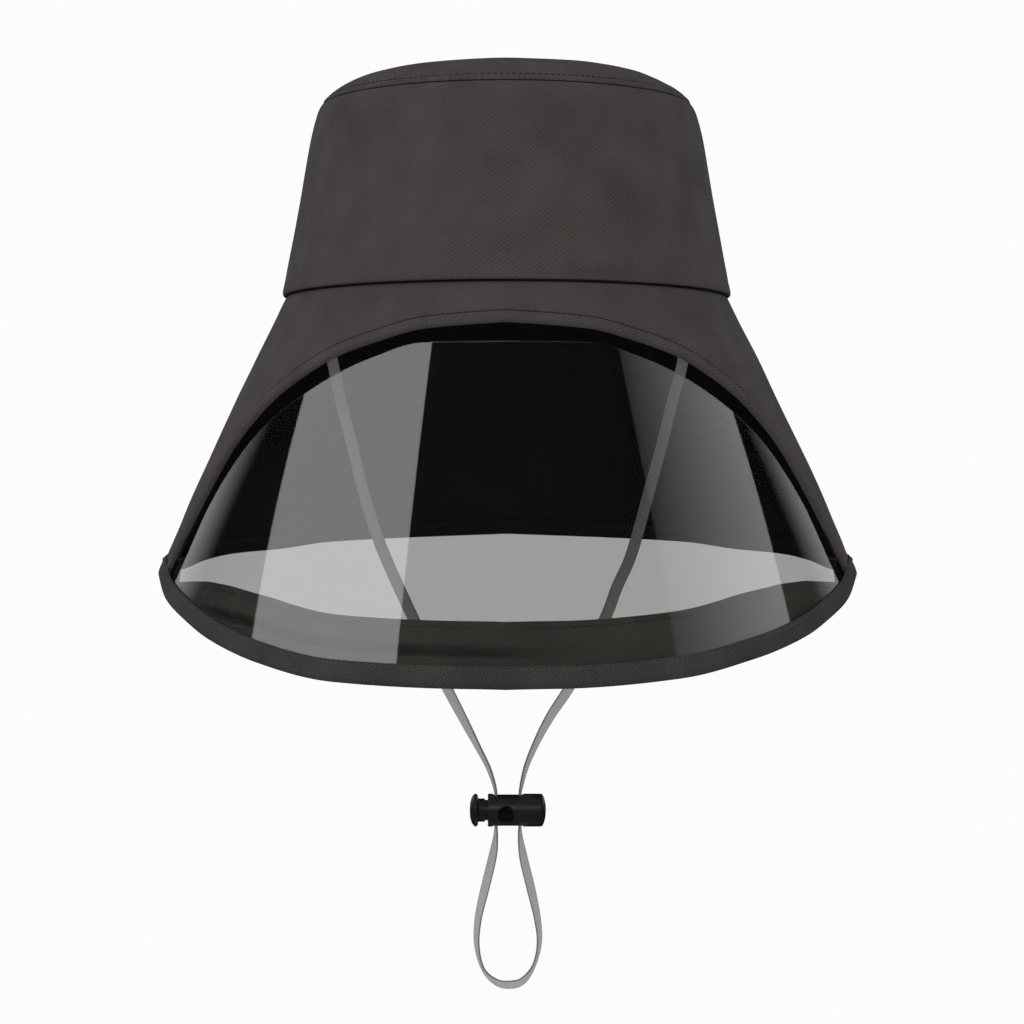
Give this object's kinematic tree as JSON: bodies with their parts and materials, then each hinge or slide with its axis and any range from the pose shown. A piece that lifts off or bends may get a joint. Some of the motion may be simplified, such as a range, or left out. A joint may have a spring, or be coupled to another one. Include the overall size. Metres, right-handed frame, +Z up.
{
  "type": "sun hat with a face-covering brim",
  "caption": "Bucket-crowned sun hat with a deep skirt brim, an arched see-through window at the front and a chin strap with a cord lock.",
  "frame": {"origin": "the underside of the crown's top panel at its middle, where the top of a head carries the hat", "axes": "+Z up along the crown, -Y to the front where the window is, +X to the wearer's left, which is the right of the picture"},
  "size_m": [0.288, 0.2968, 0.3698],
  "materials": {
    "cloth": "fine dark grey-brown twill, matte",
    "tape": "dark twill tape, matte",
    "film": "smoky see-through film, glossy",
    "strap": "grey ribbed elastic strap",
    "lock_plastic": "satin black moulded plastic"
  },
  "bodies": {
    "hat": {"crown_top": "cloth", "crown_side": "cloth", "brim": "cloth", "window_film": "film", "chin_band": "cloth", "rim_binding": "tape", "chin_strap": "strap", "cord_lock_barrel": "lock_plastic"},
    "lock_plunger": {"cord_lock_plunger": "lock_plastic"}
  },
  "joints": [
    {"name": "plunger_press", "type": "slide", "parent": "hat", "child": "lock_plunger", "axis": [1, 0, 0], "range_m": [0, 0.0035], "stiffness_N_per_m": 400, "springref_m": -0.005}
  ]
}
